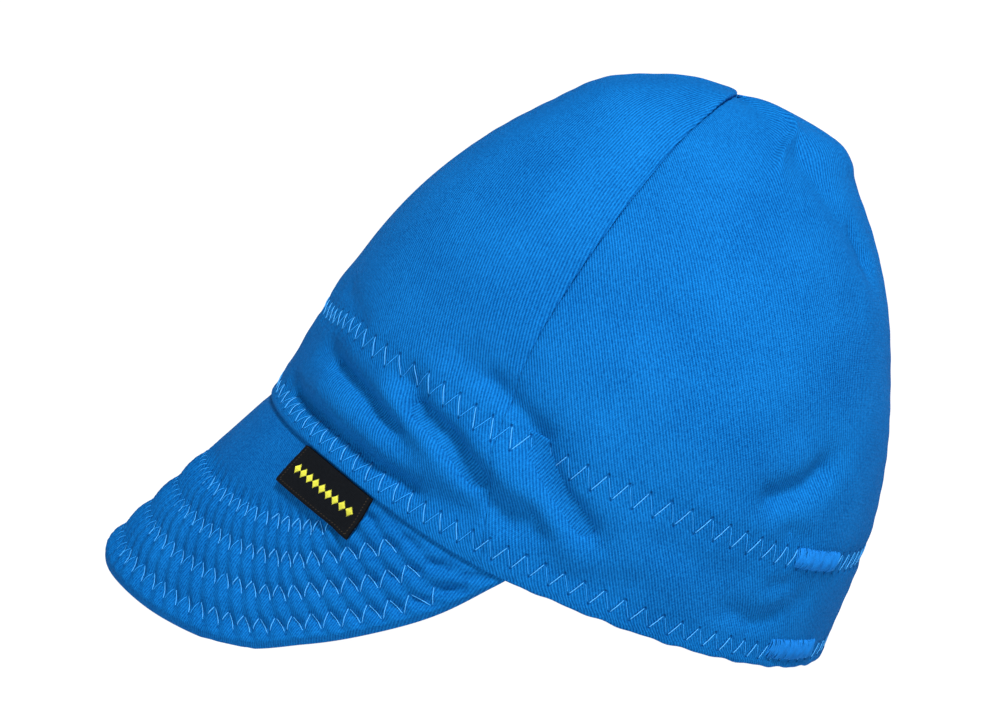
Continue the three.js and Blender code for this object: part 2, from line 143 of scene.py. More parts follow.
# Folds through places on the cloth, as the angle from the front and the place along it, with width
# and depth as shares of the fold sizes. The folds are in the solids too, and the creases are finer
# ones that only the cloth has.
folds = table("path width depth", [
    ([(20, 0.055), (42, 0.055), (56, 0.05), (68, 0.06), (77, 0.075)], 0.42, -0.55),
    ([(35, 0.105), (46, 0.09), (55, 0.09)], 0.5, 0.3),
    ([(29, 0.17), (45, 0.15), (57, 0.125), (61, 0.115)], 0.42, -0.6),
    ([(53, 0.175), (64, 0.15), (76, 0.12)], 0.4, 0.35),
    ([(55, 0.22), (60, 0.185), (68, 0.17), (78, 0.13), (85, 0.1)], 0.42, -0.85),
    ([(87, 0.13), (91, 0.1)], 0.4, -0.35),
    ([(63, 0.305), (75, 0.285), (86, 0.25)], 0.5, -0.5),
    ([(82, 0.235), (89, 0.19), (100, 0.125)], 0.45, -0.6),
    ([(74, 0.17), (85, 0.15), (98, 0.095)], 0.45, 0.45),
    ([(92, 0.075), (103, 0.065), (110, 0.085)], 0.5, -0.35),
    ([(96, 0.35), (104, 0.285), (108, 0.255)], 0.8, -0.25),
    ([(131, 0.305), (139, 0.34), (144, 0.385)], 0.5, -0.5),
    ([(132, 0.415), (138, 0.425)], 0.6, -0.25),
    ([(114, 0.165), (122, 0.145), (130, 0.155)], 0.65, -0.35),
    ([(109, 0.105), (118, 0.12)], 0.6, 0.25),
    ([(131, 0.09), (138, 0.08), (145, 0.115), (148, 0.135)], 0.45, -0.4),
    ([(79, 0.49), (87, 0.495), (96, 0.51)], 0.8, -0.25),
    ([(132, 0.94), (120, 0.865), (118, 0.815)], 0.5, 0.4),
    ([(128, 0.87), (141, 0.8), (152, 0.735), (160, 0.7)], 0.6, -0.45),
    ([(125, 0.94), (180, 0.9)], 0.9, 0.6),
    ([(-125, 0.94), (-180, 0.9)], 0.9, 0.6),
    ([(-25, 0.06), (-60, 0.055)], 0.5, -0.4),
    ([(-30, 0.16), (-58, 0.11)], 0.5, -0.5),
    ([(-60, 0.19), (-82, 0.13)], 0.5, -0.6),
    ([(-80, 0.21), (-97, 0.14)], 0.55, 0.4),
    ([(-105, 0.13), (-132, 0.12)], 0.8, -0.3),
    ([(-130, 0.33), (-143, 0.31)], 0.7, -0.45),
    ([(-74, 0.52), (-98, 0.47)], 0.9, -0.25),
])

creases = table("path width depth", [
    ([(24, 0.055), (42, 0.055), (56, 0.05), (66, 0.055)], 0.24, -0.56),
    ([(34, 0.16), (45, 0.15), (56, 0.13)], 0.24, -0.56),
    ([(60, 0.185), (68, 0.17), (76, 0.138)], 0.26, -1.1),
    ([(70, 0.3), (76, 0.285), (84, 0.258)], 0.26, -0.48),
    ([(85, 0.222), (90, 0.185), (98, 0.14)], 0.26, -0.75),
    ([(88, 0.125), (91, 0.105)], 0.24, -0.4),
    ([(73, 0.205), (76, 0.2)], 0.36, 0.32),
    ([(131, 0.3), (138, 0.33), (142, 0.36)], 0.32, -0.6),
    ([(137.5, 0.25), (141.5, 0.245)], 0.32, -0.38),
    ([(133, 0.087), (138, 0.08), (143, 0.1)], 0.25, -0.2),
    ([(139, 0.15), (143, 0.165)], 0.25, -0.25),
    ([(141, 0.12), (145, 0.125)], 0.35, 0.2),
    ([(74, 0.715), (74, 0.7)], 0.3, -0.25),
    ([(136, 0.625), (148, 0.62)], 0.5, -0.2),
    ([(131, 0.93), (120, 0.865), (118, 0.83)], 0.14, 0.22),
    ([(126, 0.92), (117, 0.865), (115, 0.83)], 0.22, -0.2),
    ([(22, 0.285), (35, 0.265)], 0.3, -0.25),
    ([(9, 0.27), (12, 0.2), (10, 0.15)], 0.6, 0.3),
    ([(155, 0.74), (160, 0.7)], 0.3, -0.3),
    ([(50, 0.37), (62, 0.345), (73, 0.33)], 1.1, -0.35),
])

# The peak's lower edge from its middle at 0 to its end at 1, in shares of its push and drop.
peakEdge = table("at push drop", [
    (0.0, 1.0, 0.985),
    (0.27, 0.95, 1.0),
    (0.44, 0.66, 1.0),
    (0.58, 0.34, 0.92),
    (0.7, 0.15, 0.71),
    (0.8, 0.06, 0.51),
    (0.9, 0.0, 0.28),
    (1.0, 0.0, 0.0),
])

peak = {
    "push": 34 * mm,
    "drop": 75 * mm,
    "endAngle": 89,
    "thickness": 2.8 * mm,
    "edgeThickness": 2.0 * mm,
    "edgeShare": 0.45,          # of the thickness, at the edge, growing to all of it over edgeEase
    "edgeEase": 4 * mm,
    "flange": 7 * mm,           # how far it reaches up between crown and band
    "flangeShare": 0.6,         # of the thickness that is left there
    "firstRow": 9 * mm,         # quilting rows, counted from the edge
    "rowPitch": 13 * mm,
    "rows": 4,
    "rowEnd": 5 * mm,           # a row stops where less cloth than this is above it
    "quiltRise": 1.25 * mm,
    "quiltStart": 3 * mm,       # from the edge to where the quilting is whole
    "underShare": 0.6,          # of the quilting that shows on the lower face
    "stitchPitch": 5.6 * mm,    # at the front, and it grows to sidePitch between the two angles
    "sidePitch": 7.4 * mm,
    "pitchAngles": (40, 80),
    "mostLean": 0.7,            # of a row across the lines that run down from the rim
    "stitchHeight": 6.2 * mm,
    "edgeGap": 1.5 * mm,        # the least from the edge to a stitch
    "risingShown": (44, 66),    # rising strokes are sunk up to the first angle and whole past the next
    "pucker": 1.4 * mm,
    "puckerFade": 3.2 * mm,
    "puckerStart": (1.5 * mm, 5 * mm),
    "puckerEnd": (0.8, 0.2),    # in rows before the plain part
    "seamDepth": 1.15 * mm,     # from the crown's face to the peak's where it comes out of the seam
    "seamEase": 1.5 * mm,
    "square": 0.9 * mm,         # size of the mesh's squares
    "fullness": 1.12,           # the edge's length as a share of the seam's
    "cutRadius": 120 * mm,      # of the peak's seam, as the cloth is cut flat
    "twillLean": 51,
}

layerDepth = crown["thickness"] + crown["layerGap"]


def smooth(value, low, high):
    share = np.clip((value - low) / (high - low), 0, 1)
    return share * share * (3 - 2 * share)


def grow(start, share):
    # from start at 0 to 1 at 1
    return start + (1 - start) * share


def rowAt(rows, place):
    # the columns of a table at any place, on smooth curves through its rows
    at = np.array([row["at"] for row in rows], float)
    place = np.asarray(place, float)
    k = np.clip(np.searchsorted(at, place) - 1, 0, len(at) - 2)
    before = np.maximum(k - 1, 0)
    after = np.minimum(k + 2, len(at) - 1)
    span = at[k + 1] - at[k]
    s = (place - at[k]) / span
    found = {}
    for name in rows[0]:
        value = np.array([row[name] for row in rows], float)
        leave = (value[k + 1] - value[before]) / (at[k + 1] - at[before]) * span
        arrive = (value[after] - value[k]) / (at[after] - at[k]) * span
        change = value[k + 1] - value[k]
        bend = leave + arrive - 2 * change
        found[name] = value[k] + s * (leave + s * (3 * change - 2 * leave - arrive + s * bend))
    return found


def unit(vectors):
    return vectors / np.maximum(np.linalg.norm(vectors, axis=-1, keepdims=True), 1e-12)


def crownShape(angle, place):
    section = rowAt(crownSections, place)
    ahead = np.cos(angle)
    fore = section["middle"] - section["front"]
    aft = section["back"] - section["middle"]
    reach = np.where(ahead > 0, fore, aft)
    lift = rowAt(rimLift, np.degrees(np.abs(angle)))["share"] * (1 - smooth(place, 0, crown["liftEase"]))
    return np.stack([
        crown["rimWidth"] / 2 * section["side"] * np.sin(angle),
        crown["rimLength"] / 2 * (section["middle"] - reach * ahead),
        crown["height"] * section["rise"] + crown["frontLift"] * lift,
    ], axis=-1)


def crownNormal(angle, place):
    step = 0.002
    held = np.clip(place, step, 1 - 8 * step)
    around = crownShape(angle + step, held) - crownShape(angle - step, held)
    upward = crownShape(angle, held + step) - crownShape(angle, held - step)
    return unit(np.cross(around, upward))


climb = crownShape(np.full(41, math.pi / 2), np.linspace(0, 1, 41))
clothLength = np.linalg.norm(np.diff(climb, axis=0), axis=1).sum()
meanRadius = (crown["rimLength"] + crown["rimWidth"]) / 4


def seamAngle(place):
    return np.radians(rowAt(sideSeam, place)["angle"])


def puffHeight(angle, place):
    seam = seamAngle(place)
    turn = np.abs(angle)
    share = np.where(turn < seam, turn / seam, (math.pi - turn) / (math.pi - seam))
    return crown["puff"] * np.sin(math.pi * share) * np.sin(math.pi * place) ** 2


def foldHeight(angle, place, rows):
    across, along = angle * meanRadius, place * clothLength
    height = np.zeros(np.broadcast(angle, place).shape)
    for fold in rows:
        corners = [(math.radians(turn) * meanRadius, at * clothLength) for turn, at in fold["path"]]
        away = np.full(height.shape, 1.0)
        for start, end in zip(corners, corners[1:]):
            run = (end[0] - start[0], end[1] - start[1])
            way = (across - start[0]) * run[0] + (along - start[1]) * run[1]
            way = np.clip(way / (run[0] ** 2 + run[1] ** 2), 0, 1)
            gap = np.hypot(across - start[0] - way * run[0], along - start[1] - way * run[1])
            away = np.minimum(away, gap)
        share = away / (crown["foldWidth"] * fold["width"])
        height += crown["foldDepth"] * fold["depth"] * np.exp(-share ** 2)
    return height


def crownPoint(angle, place, lift=0):
    height = foldHeight(angle, place, folds) + puffHeight(angle, place) + lift
    return crownShape(angle, place) + crownNormal(angle, place) * np.asarray(height)[..., None]


def heightAt(place):
    return rowAt(crownSections, place)["rise"] * crown["height"]


def placeAtHeight(height):
    places = np.linspace(0, 0.9, 900)
    return np.interp(height, heightAt(places), places)


def roundness(place):
    section = rowAt(crownSections, place)
    reach = crown["rimLength"] / 4 * (section["back"] - section["front"])
    return np.minimum(crown["rimWidth"] / 2 * section["side"], reach)


def peakRun(angle):
    share = np.minimum(1, np.abs(angle) / math.radians(peak["endAngle"]))
    row = rowAt(peakEdge, share)
    return np.stack([0 * share, -peak["push"] * row["push"], -peak["drop"] * row["drop"]], axis=-1)


def peakWay(angle):
    # straight down where the run has no length
    return unit(peakRun(angle) - np.array([0, 0, 1e-9]))


def peakReach(angle):
    return np.linalg.norm(peakRun(angle), axis=-1)


def peakShape(angle, way):
    # a point of the peak's outer face, where way is the distance below the rim
    below = crownPoint(angle, 0 * way, -layerDepth) + peakWay(angle) * np.maximum(way, 0)[..., None]
    above = crownPoint(angle, placeAtHeight(np.maximum(-way, 0)), -layerDepth)
    return np.where((way < 0)[..., None], above, below)


def peakNormal(angle, way):
    around = peakShape(angle + 0.01, way) - peakShape(angle - 0.01, way)
    down = peakShape(angle, way + mm) - peakShape(angle, way - mm)
    return unit(np.cross(down, around))


# How the cap rests: tipped back until the peak's edge is as low as the back of the rim, then moved
# over the frame's origin, which is told by the box of the peak's solid.
heel = crownPoint(np.array(math.pi), np.array(0.0))
edgeAngles = np.radians(np.arange(0, peak["endAngle"] + 1))
edgeLine = peakShape(edgeAngles, peakReach(edgeAngles))
tilt = np.arctan2(heel[2] - edgeLine[:, 2], heel[1] - edgeLine[:, 1]).max()
floorDrop = heel[2] * math.cos(tilt) - heel[1] * math.sin(tilt) + crown["pressed"]
originShift = np.zeros(3)


def atRest(points):
    y = points[..., 1] * math.cos(tilt) + points[..., 2] * math.sin(tilt)
    z = points[..., 2] * math.cos(tilt) - points[..., 1] * math.sin(tilt) - floorDrop
    return np.stack([points[..., 0], y, np.maximum(z, 0)], axis=-1) + originShift


frontEdge = atRest(edgeLine)[0]
bothSides = atRest(np.concatenate([peakShape(side * edgeAngles, 0 * edgeAngles) for side in (-1, 1)]))
solidLow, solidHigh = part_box("peak")
originShift[0] = (solidLow[0] + solidHigh[0] - bothSides[:, 0].min() - bothSides[:, 0].max()) / 2
originShift[1] = solidLow[1] - frontEdge[1]
print("cap rests at", round(math.degrees(tilt), 2), "degrees, origin moved by", originShift.round(4))


# Zigzag rows round the crown, each with its middle's place along the cloth and its pitch in mm, and
# with the depth of the trench and the height of the puckers that it pulls into each cloth.
upperRow = {
    "height": 8.2 * mm,
    "usualPitch": 7 * mm,
    "onCrown": (0.45 * mm, 0.22 * mm),
    "onBand": (0.1 * mm, 0.15 * mm),
    "places": table("at place pitch", [
        (0, 0.217, 5.0),
        (18, 0.222, 4.6),
        (32, 0.242, 5.2),
        (45, 0.24, 6.6),
        (61, 0.24, 6.6),
        (75, 0.23, 6.6),
        (90, 0.227, 7.0),
        (119, 0.221, 7.0),
        (136, 0.21, 5.6),
        (150, 0.208, 5.0),
        (180, 0.208, 6.0),
    ]),
}
lowerRow = {
    "height": 7 * mm,
    "usualPitch": 6 * mm,
    "onCrown": (0.3 * mm, 0.2 * mm),
    "onBand": (0.1 * mm, 0.12 * mm),
    "places": table("at place pitch", [
        (0, 0.028, 5.2),
        (38, 0.028, 5.6),
        (61, 0.029, 6.2),
        (75, 0.036, 6.2),
        (85, 0.042, 6.2),
        (105, 0.039, 7.0),
        (130, 0.031, 6.4),
        (145, 0.029, 5.4),
        (180, 0.032, 6.4),
    ]),
}


class Stitches:
    # the run of a zigzag row, with its stitches counted round the crown from the back
    def __init__(self, row):
        self.row = row
        self.half = row["height"] / 2
        self.angles = np.linspace(-math.pi, math.pi, 2161)
        found = rowAt(row["places"], np.degrees(np.abs(self.angles)))
        self.places = found["place"]
        line = crownPoint(self.angles, self.places)
        steps = np.linalg.norm(np.diff(line, axis=0), axis=1)
        pitch = (found["pitch"][1:] + found["pitch"][:-1]) / 2 * mm
        count = np.concatenate([[0], np.cumsum(2 * steps / pitch)])
        self.total = 2 * round(count[-1] / 2)
        self.count = count * self.total / count[-1]

    def placeAt(self, angle):
        return np.interp(angle, self.angles, self.places)

    def angleAt(self, count):
        return np.interp(count, self.count, self.angles)

    def local(self, angle, place):
        # stitches counted, and the height over the row's middle as a share of half its height
        count = np.interp(angle, self.angles, self.count)
        return count, (place - self.placeAt(angle)) * clothLength / self.half

    def relief(self, angle, place, cloth):
        # a trench as high as the row, with a leaning pucker for each stitch that fades beyond it
        trench, pucker = self.row[cloth]
        count, height = self.local(angle, place)
        held = np.exp(-(height / 1.25) ** 4)
        wave = np.cos(math.pi * (count - 0.35 * height)) * np.exp(-(height / 1.9) ** 2)
        return -trench * held + pucker * wave


upperStitches = Stitches(upperRow)
lowerStitches = Stitches(lowerRow)

peakAngles = np.linspace(-1, 1, 1801) * math.radians(peak["endAngle"])
peakMiddle = peakShape(peakAngles, np.maximum(peakReach(peakAngles) - 2.2 * peak["rowPitch"], 0))
pitchShare = smooth(np.degrees(np.abs(peakAngles[1:])), *peak["pitchAngles"])
peakPitch = peak["stitchPitch"] + (peak["sidePitch"] - peak["stitchPitch"]) * pitchShare
peakCount = np.linalg.norm(np.diff(peakMiddle, axis=0), axis=1) * 2 / peakPitch
peakCount = np.concatenate([[0], np.cumsum(peakCount)])

# How the rows lean across the peak: its cloth runs down from the rim, and the rows follow its edge.
edgeRow = peakShape(peakAngles, np.maximum(peakReach(peakAngles) - peak["firstRow"], 0))
alongRow = unit(np.gradient(edgeRow, axis=0))
rowLean = -(alongRow * peakWay(peakAngles)).sum(axis=1)
rowLean = np.clip(rowLean, -peak["mostLean"], peak["mostLean"])
stitchDrift = rowLean * 2 / np.concatenate([peakPitch[:1], peakPitch])
stitchReach = peak["stitchHeight"] / np.sqrt(1 - rowLean ** 2)
rowDrift = peak["rowPitch"] * (stitchDrift + 1 / stitchReach)


def stitchPhase(angle, row):
    # stitches counted along the rows, so that each pucker keeps one count from row to row
    return np.interp(angle, peakAngles, peakCount) + np.interp(angle, peakAngles, rowDrift) * row


def rowAway(fromEdge):
    return (fromEdge - peak["firstRow"]) / peak["rowPitch"]


def quiltHeight(fromEdge):
    # it swells between the rows, and half as much beyond the last
    lastRow = peak["firstRow"] + peak["rowPitch"] * (peak["rows"] - 1)
    channels = np.abs(np.sin(math.pi * rowAway(fromEdge))) ** 1.4
    plain = 0.5 * smooth(fromEdge, lastRow, lastRow + peak["rowPitch"] * 0.7)
    return peak["quiltRise"] * np.where(fromEdge > lastRow, plain, channels)


def quiltPucker(angle, fromEdge):
    # small ridges that run on from each stitch to the next row
    row = rowAway(fromEdge)
    near = np.abs(row - np.clip(np.round(row), 0, peak["rows"] - 1)) * peak["rowPitch"]
    fade = grow(0.6, np.exp(-(near / peak["puckerFade"]) ** 2))
    fade = fade * smooth(fromEdge, *peak["puckerStart"])
    fade = fade * (1 - smooth(row, *(peak["rows"] - before for before in peak["puckerEnd"])))
    ridge = np.sin(math.pi / 2 * (stitchPhase(angle, row) - 0.5)) ** 2
    return peak["pucker"] * fade * (ridge - 0.5)


def onPeak(angle, fromEdge, lift, side=1, puckered=1):
    # a point over the peak's upper face, or under its lower one where side is -1
    way = peakReach(angle) - fromEdge
    below = smooth(way, 0, peak["flange"])
    quilt = (quiltHeight(fromEdge) + quiltPucker(angle, fromEdge) * puckered) * below
    quilt = quilt * np.where(side > 0, 1, -peak["underShare"]) * smooth(fromEdge, 0, peak["quiltStart"])
    full = peak["thickness"] / 2
    half = full * grow(peak["edgeShare"], smooth(fromEdge, 0, peak["edgeEase"]))
    half = half * grow(peak["flangeShare"], below)
    raised = layerDepth + full - half - peak["seamDepth"]
    raised = np.where(side > 0, raised, 0) * (1 - smooth(way, peak["seamEase"], peak["flange"]))
    inside = np.clip(1 - fromEdge / (peak["edgeThickness"] / 2), 0, 1)
    half = half * np.sqrt(np.maximum(1 - inside ** 2, 0.0))
    height = -full + raised + side * (half + lift) + quilt
    return atRest(peakShape(angle, way) + peakNormal(angle, way) * height[..., None])


panels = {
    "square": 1.3 * mm,
    "columns": 104,
    "apex": 0.9975,             # the place where the panels end
    "edgeSteps": (0, 0.3, 0.7, 1.2, 1.9, 2.8),      # columns beside a seam, in mm from it
    "seamDip": 0.55 * mm,
    "seamWidth": 0.45 * mm,
    "lowDip": 0.25,             # the share of the dip in the lower part of a seam
    "dipEase": (0.3, 0.55),
    "seamSwell": 0.2 * mm,      # the allowances inside lift the cloth beside a seam
    "swellAt": 2.6 * mm,
    "swellWidth": 2.4 * mm,
    "ripple": 0.1 * mm,         # along a seam, fading over rippleWidth
    "rippleWidth": 5 * mm,
    "rippleStep": 1.3 * mm,
    "hemRadius": 1.05 * mm,
    "hemSteps": 6,
    "hemEase": 8,               # degrees past the peak's ends where the hem turns fully under
    "rimEase": 0.02,
    "scallop": 0.35 * mm,       # the rim's waves where no peak holds it
    "scallopFade": 0.05,
    "wall": 1.0 * mm,
    "apexStep": 0.9 * mm,       # the front panels lie over the rear ones at the top
    "apexEase": (0.84, 0.97),
    "apexFade": (0.96, 0.99),
    "twillLean": 20,            # degrees from the middle of a panel
}

quarters = table("name sides", [
    ("rear_right", (-2, -1)),
    ("front_right", (-1, 0)),
    ("front_left", (0, 1)),
    ("rear_left", (1, 2)),
])


def seamLine(which, place):
    # seams are counted from the front: 0 is the front's, 1 the left side's, 2 the back's
    turns = (0 * place, seamAngle(place), math.pi + 0 * place)
    return math.copysign(1, which) * turns[abs(which)]


def seamRelief(away, place):
    # the cloth dips into a seam, and stands up a little over the allowances beside it
    dip = -panels["seamDip"] * np.exp(-(away / panels["seamWidth"]) ** 2)
    dip = dip * grow(panels["lowDip"], smooth(place, *panels["dipEase"]))
    swell = panels["seamSwell"] * np.exp(-((away - panels["swellAt"]) / panels["swellWidth"]) ** 2)
    ripple = panels["ripple"] * np.sin(place * clothLength / panels["rippleStep"])
    return dip + swell + ripple * np.exp(-(away / panels["rippleWidth"]) ** 2)


def seamDistance(angle, place):
    distance = np.full(np.broadcast(angle, place).shape, 1.0)
    for which in (-2, -1, 0, 1, 2):
        distance = np.minimum(distance, np.abs(angle - seamLine(which, place)) * roundness(place))
    return distance


def crownRelief(angle, place):
    fade = smooth(place, 0, panels["rimEase"]) * (1 - smooth(place, *panels["apexFade"]))
    relief = foldHeight(angle, place, creases)
    relief = relief + upperStitches.relief(angle, place, "onCrown")
    relief = relief + lowerStitches.relief(angle, place, "onCrown") * fade
    relief = relief + seamRelief(seamDistance(angle, place), place) * fade
    overlap = panels["apexStep"] * smooth(place, *panels["apexEase"])
    return relief + np.where(np.abs(angle) < seamAngle(place), overlap, -0.3 * overlap)


def onCrown(angle, place, lift):
    return atRest(crownPoint(angle, place, crownRelief(angle, place) + lift))


def setPoints(mesh, points):
    mesh.vertices.foreach_set("co", np.ascontiguousarray(points, dtype=np.float32).ravel())


def setMap(mesh, name, across, along):
    corners = np.empty(len(mesh.loops), dtype=np.int32)
    mesh.loops.foreach_get("vertex_index", corners)
    layer = mesh.uv_layers.new(name=name)
    layer.data.foreach_set("uv", np.stack([across, along], axis=-1)[corners].astype(np.float32).ravel())


def gridMesh(name, across, along):
    # a flat grid of squares, and each corner's share of the way across and along
    bm = bmesh.new()
    bmesh.ops.create_grid(bm, x_segments=across, y_segments=along, size=0.5)
    mesh = bpy.data.meshes.new(name)
    bm.to_mesh(mesh)
    bm.free()
    flat = np.empty(len(mesh.vertices) * 3, dtype=np.float32)
    mesh.vertices.foreach_get("co", flat)
    shares = flat.reshape(-1, 3)[:, :2].astype(float) + 0.5
    return mesh, shares[:, 0], shares[:, 1]


def addPiece(name, mesh, material, slot, *nodes):
    piece = addObject(name, mesh)
    mesh.materials.append(material)
    mesh.shade_smooth()
    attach(piece, "root")
    if nodes:
        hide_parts(*nodes)
    print("made", name, len(mesh.vertices), "vertices")
    return piece


def mergeEnds(mesh, distance):
    bm = bmesh.new()
    bm.from_mesh(mesh)
    bmesh.ops.remove_doubles(bm, verts=bm.verts, dist=distance)
    bm.to_mesh(mesh)
    bm.free()


def addWall(piece, thickness):
    wall = piece.modifiers.new("wall", "SOLIDIFY")
    wall.thickness = thickness
    wall.offset = -1


def mathsOf(operation):
    def made(socket, *others):
        return socket.nodes.add("Math", {"operation": operation}, dict(enumerate((socket, *others))))
    return made


# Shader maths as Python expressions.
class Socket:
    def __init__(self, nodes, socket):
        self.nodes = nodes
        self.socket = socket

    __add__ = __radd__ = mathsOf("ADD")
    __sub__ = mathsOf("SUBTRACT")
    __mul__ = __rmul__ = mathsOf("MULTIPLY")
    __truediv__ = mathsOf("DIVIDE")
    __abs__ = mathsOf("ABSOLUTE")
    atLeast = mathsOf("MAXIMUM")
    atMost = mathsOf("MINIMUM")
    fraction = mathsOf("FRACT")
    whole = mathsOf("ROUND")
    cosine = mathsOf("COSINE")

    def __neg__(self):
        return self * -1

    def __rsub__(self, other):
        return -self + other

    def held(self, low=0.0, high=1.0):
        return self.atMost(high).atLeast(low)

    def wave(self):
        return (self * (2 * math.pi)).cosine() * 0.5 + 0.5

    def output(self, name):
        return Socket(self.nodes, self.socket.node.outputs[name])


class Nodes:
    def __init__(self, name):
        self.material = bpy.data.materials.new(name)
        self.material.use_nodes = True
        self.tree = self.material.node_tree
        self.shader = self.tree.nodes["Principled BSDF"]

    def add(self, kind, settings=None, inputs=None):
        node = self.tree.nodes.new("ShaderNode" + kind)
        for name, value in (settings or {}).items():
            setattr(node, name, value)
        for name, value in (inputs or {}).items():
            self.feed(node.inputs[name], value)
        return Socket(self, next(out for out in node.outputs if out.enabled))

    def feed(self, target, value):
        if isinstance(value, Socket):
            self.tree.links.new(value.socket, target)
        else:
            target.default_value = value

    def map(self, name):
        both = self.add("SeparateXYZ", {}, {0: self.add("UVMap", {"uv_map": name})})
        return both.output("X"), both.output("Y")

    def noise(self, scale, detail=2.0):
        place = self.add("TexCoord").output("Object")
        return self.add("TexNoise", {}, {"Vector": place, "Scale": scale, "Detail": detail})

    def mix(self, share, low, high):
        # inputs 6 and 7 and output 2 are the colours'
        mixed = self.add("Mix", {"data_type": "RGBA"}, {0: share, 6: low, 7: high})
        return mixed.output(2)

    def fix(self, fixed):
        for name, value in fixed.items():
            self.shader.inputs[name].default_value = value

    def finish(self, colour, roughness, height, distance, fixed):
        bump = self.add("Bump", {}, {"Height": height, "Distance": distance})
        self.feed(self.shader.inputs["Base Color"], colour)
        self.feed(self.shader.inputs["Roughness"], roughness)
        self.feed(self.shader.inputs["Normal"], bump)
        self.fix(fixed)
        return self.material


twill = {
    "shade": (0.0005, 0.052, 0.215, 1),
    "fibre": (0.0055, 0.166, 0.51, 1),
    # colour of the painted shade in the grooves beside the stitches
    "shadedGroove": (0.0008, 0.028, 0.14, 1),
    "spacing": 0.88 * mm,
    "yarn": 0.55 * mm,
    "relief": 0.2 * mm,
    "specular": 0.02,
    "lineWidth": 0.6 * mm,      # of the groove to either side of a stitch, darkened with painted shade
    "lineDepth": 1.6,
}

# What differs between the plain cloth and the quilted one; line and lineEnd set how strong the groove and
# its painted shade are.
plainLook = {"ribTone": 0.62, "relief": 1.0, "line": 0.55, "lineEnd": 0.7}
quiltLook = {"ribTone": 0.45, "relief": 0.6, "line": 0.3, "lineEnd": 0.3}


def byCrownRow(nodes, name, perpendicular):
    # the height in a row, and the distance from its zigzag
    count, level = nodes.map(name)
    zigzag = abs((count * 0.5).fraction() * 4 - 2) - 1
    return level, abs(level - zigzag) * perpendicular


def byQuiltRow(nodes, name, perpendicular):
    # the same for the nearest of the peak's rows
    count, row = nodes.map(name)
    nearest = row.whole().held(0.0, peak["rows"] - 1.0)
    level = (row - nearest) / nodes.map("quiltReach")[0]
    falling = abs((count * 0.5 + 0.25).fraction() * 2 - 1)
    rising = abs(((count - level) * 0.5 - 0.25).fraction() * 2 - 1)
    return level, falling.atMost(rising) * perpendicular


def twillMaterial(name, lean, rows=(), beside=byCrownRow, look=plainLook):
    # ribs crossed by yarns, with fuzz, faint patches and a groove along the stitches that is darkened with
    # painted shade, most at the needle holes
    nodes = Nodes(name)
    across, along = nodes.map("cloth")
    turn = math.radians(lean)
    rib = across * (math.cos(turn) / twill["spacing"]) + along * (math.sin(turn) / twill["spacing"])
    rib = rib + nodes.noise(90.0) * 0.55
    run = across * (-math.sin(turn) / twill["yarn"]) + along * (math.cos(turn) / twill["yarn"])
    ribHeight = rib.wave()
    yarnHeight = (run + rib * 0.5).wave()
    fuzz = nodes.noise(1400.0, 3.0)
    patches = nodes.noise(38.0, 4.0)
    height = ribHeight * 0.7 + yarnHeight * 0.25 + fuzz * 0.5
    tone = ribHeight * look["ribTone"] + yarnHeight * 0.1 + 0.15
    tone = tone + (fuzz - 0.5) * 1.3 + (patches - 0.5) * 0.5
    colour = nodes.mix(tone.held(), twill["shade"], twill["fibre"])
    shadedGroove = None
    for row in rows:
        level, miss = beside(nodes, *row)
        inRow = ((1.15 - abs(level)) * 8.0).held()
        line = (1 - miss / twill["lineWidth"]).atLeast(0.0) * inRow
        atEnd = (1 - abs(abs(level) - 1) * 5).atLeast(0.0)
        line = line * (look["line"] + atEnd * look["lineEnd"])
        shadedGroove = line if shadedGroove is None else shadedGroove.atLeast(line)
    if shadedGroove is not None:
        height = height - shadedGroove * twill["lineDepth"]
        # painted shade in the groove beside each stitch, strongest at the stroke ends where the needle
        # holes are
        colour = nodes.mix((shadedGroove * 0.7).atMost(0.95), colour, twill["shadedGroove"])
    fixed = {"Specular IOR Level": twill["specular"]}
    return nodes.finish(colour, 0.9 - fuzz * 0.15, height, twill["relief"] * look["relief"], fixed)


def threadMaterial(name, dark, light, specular, sheen):
    nodes = Nodes(name)
    along, around = nodes.map("thread")
    ply = (along * 1.5 + around * 2).wave()
    patches = nodes.noise(300.0)
    colour = nodes.mix(ply * 0.5 + patches * 0.4, dark, light)
    fixed = {"Specular IOR Level": specular, "Sheen Weight": sheen}
    return nodes.finish(colour, 0.55 + patches * 0.1, ply, 0.04 * mm, fixed)


tab = {
    "angle": 50.5,
    "length": 32 * mm,
    "drop": 15.5 * mm,
    "start": 0.4 * mm,
    "layer": 0.45 * mm,
    "round": 0.8 * mm,          # how far from the fold it is rounded
    "seat": 0.5 * mm,
    "bow": 0.9 * mm,
    "border": 1.3 * mm,         # from the edges to the sewn line
}
ribbon = {
    "dark": (0.001, 0.0015, 0.0025, 1),
    "light": (0.007, 0.009, 0.013, 1),
    "sewing": (0.07, 0.05, 0.03, 1),
    "weft": 0.36 * mm,
    "warp": 0.42 * mm,
    "relief": 0.12 * mm,
    "lineWidth": 0.22 * mm,
    "lineFade": 0.25 * mm,      # past a corner
    "dash": 1.1 * mm,
}


